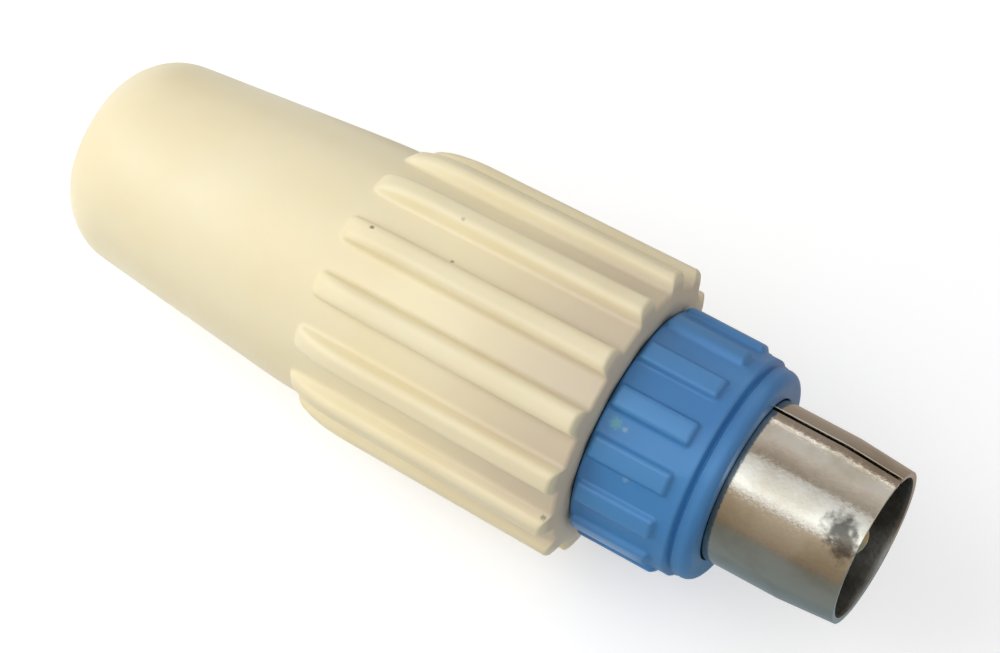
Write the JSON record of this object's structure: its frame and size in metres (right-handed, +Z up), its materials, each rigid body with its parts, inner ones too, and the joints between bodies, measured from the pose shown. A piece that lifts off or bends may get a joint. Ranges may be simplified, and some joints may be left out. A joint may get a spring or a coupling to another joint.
{
  "type": "coaxial plug",
  "caption": "Screw-together coaxial aerial plug: ivory ribbed cap with a tapered cable end, blue ridged collar and a split nickel sleeve round a centre pin.",
  "frame": {"origin": "on the surface the plug lies on, under the middle of its box", "axes": "+X along the plug towards its contact tip, +Z up; the plug lies on two grip ribs, whose draft lifts the tip by about a degree"},
  "size_m": [0.049, 0.0174, 0.0171],
  "materials": {
    "cap_plastic": "moulded ivory plastic, satin",
    "collar_plastic": "moulded blue plastic, satin",
    "sleeve_nickel": "nickel plate on rolled sheet",
    "insulator_plastic": "moulded white plastic",
    "pin_nickel": "nickel plate on turned brass",
    "screw_steel": "zinc plated",
    "clamp_plastic": "moulded natural plastic"
  },
  "bodies": {
    "cap": {"rear_cap": "cap_plastic"},
    "core": {"outer_sleeve": "sleeve_nickel", "insulator": "insulator_plastic", "centre_pin": "pin_nickel", "cable_clamp": "clamp_plastic"},
    "collar": {"front_collar": "collar_plastic"},
    "terminal_screw": {"pin_screw": "screw_steel"}
  },
  "joints": [
    {"name": "core_slide", "type": "slide", "parent": "cap", "child": "core", "axis": [0.9998, 0, 0.0195], "range_m": [0, 0.005]},
    {"name": "collar_turn", "type": "hinge", "parent": "core", "child": "collar", "pos_m": [0.00948, 0, 0.00854], "axis": [0.9998, 0, 0.0195], "range_deg": [0, 1440]},
    {"name": "terminal_screw_travel", "type": "slide", "parent": "core", "child": "terminal_screw", "axis": [-0.0169, 0.5, 0.8659], "range_m": [0, 0.0011]}
  ],
  "couplings": [
    {"joint": "collar_turn", "follows": "core_slide", "rad_per_m": 5026.5}
  ]
}
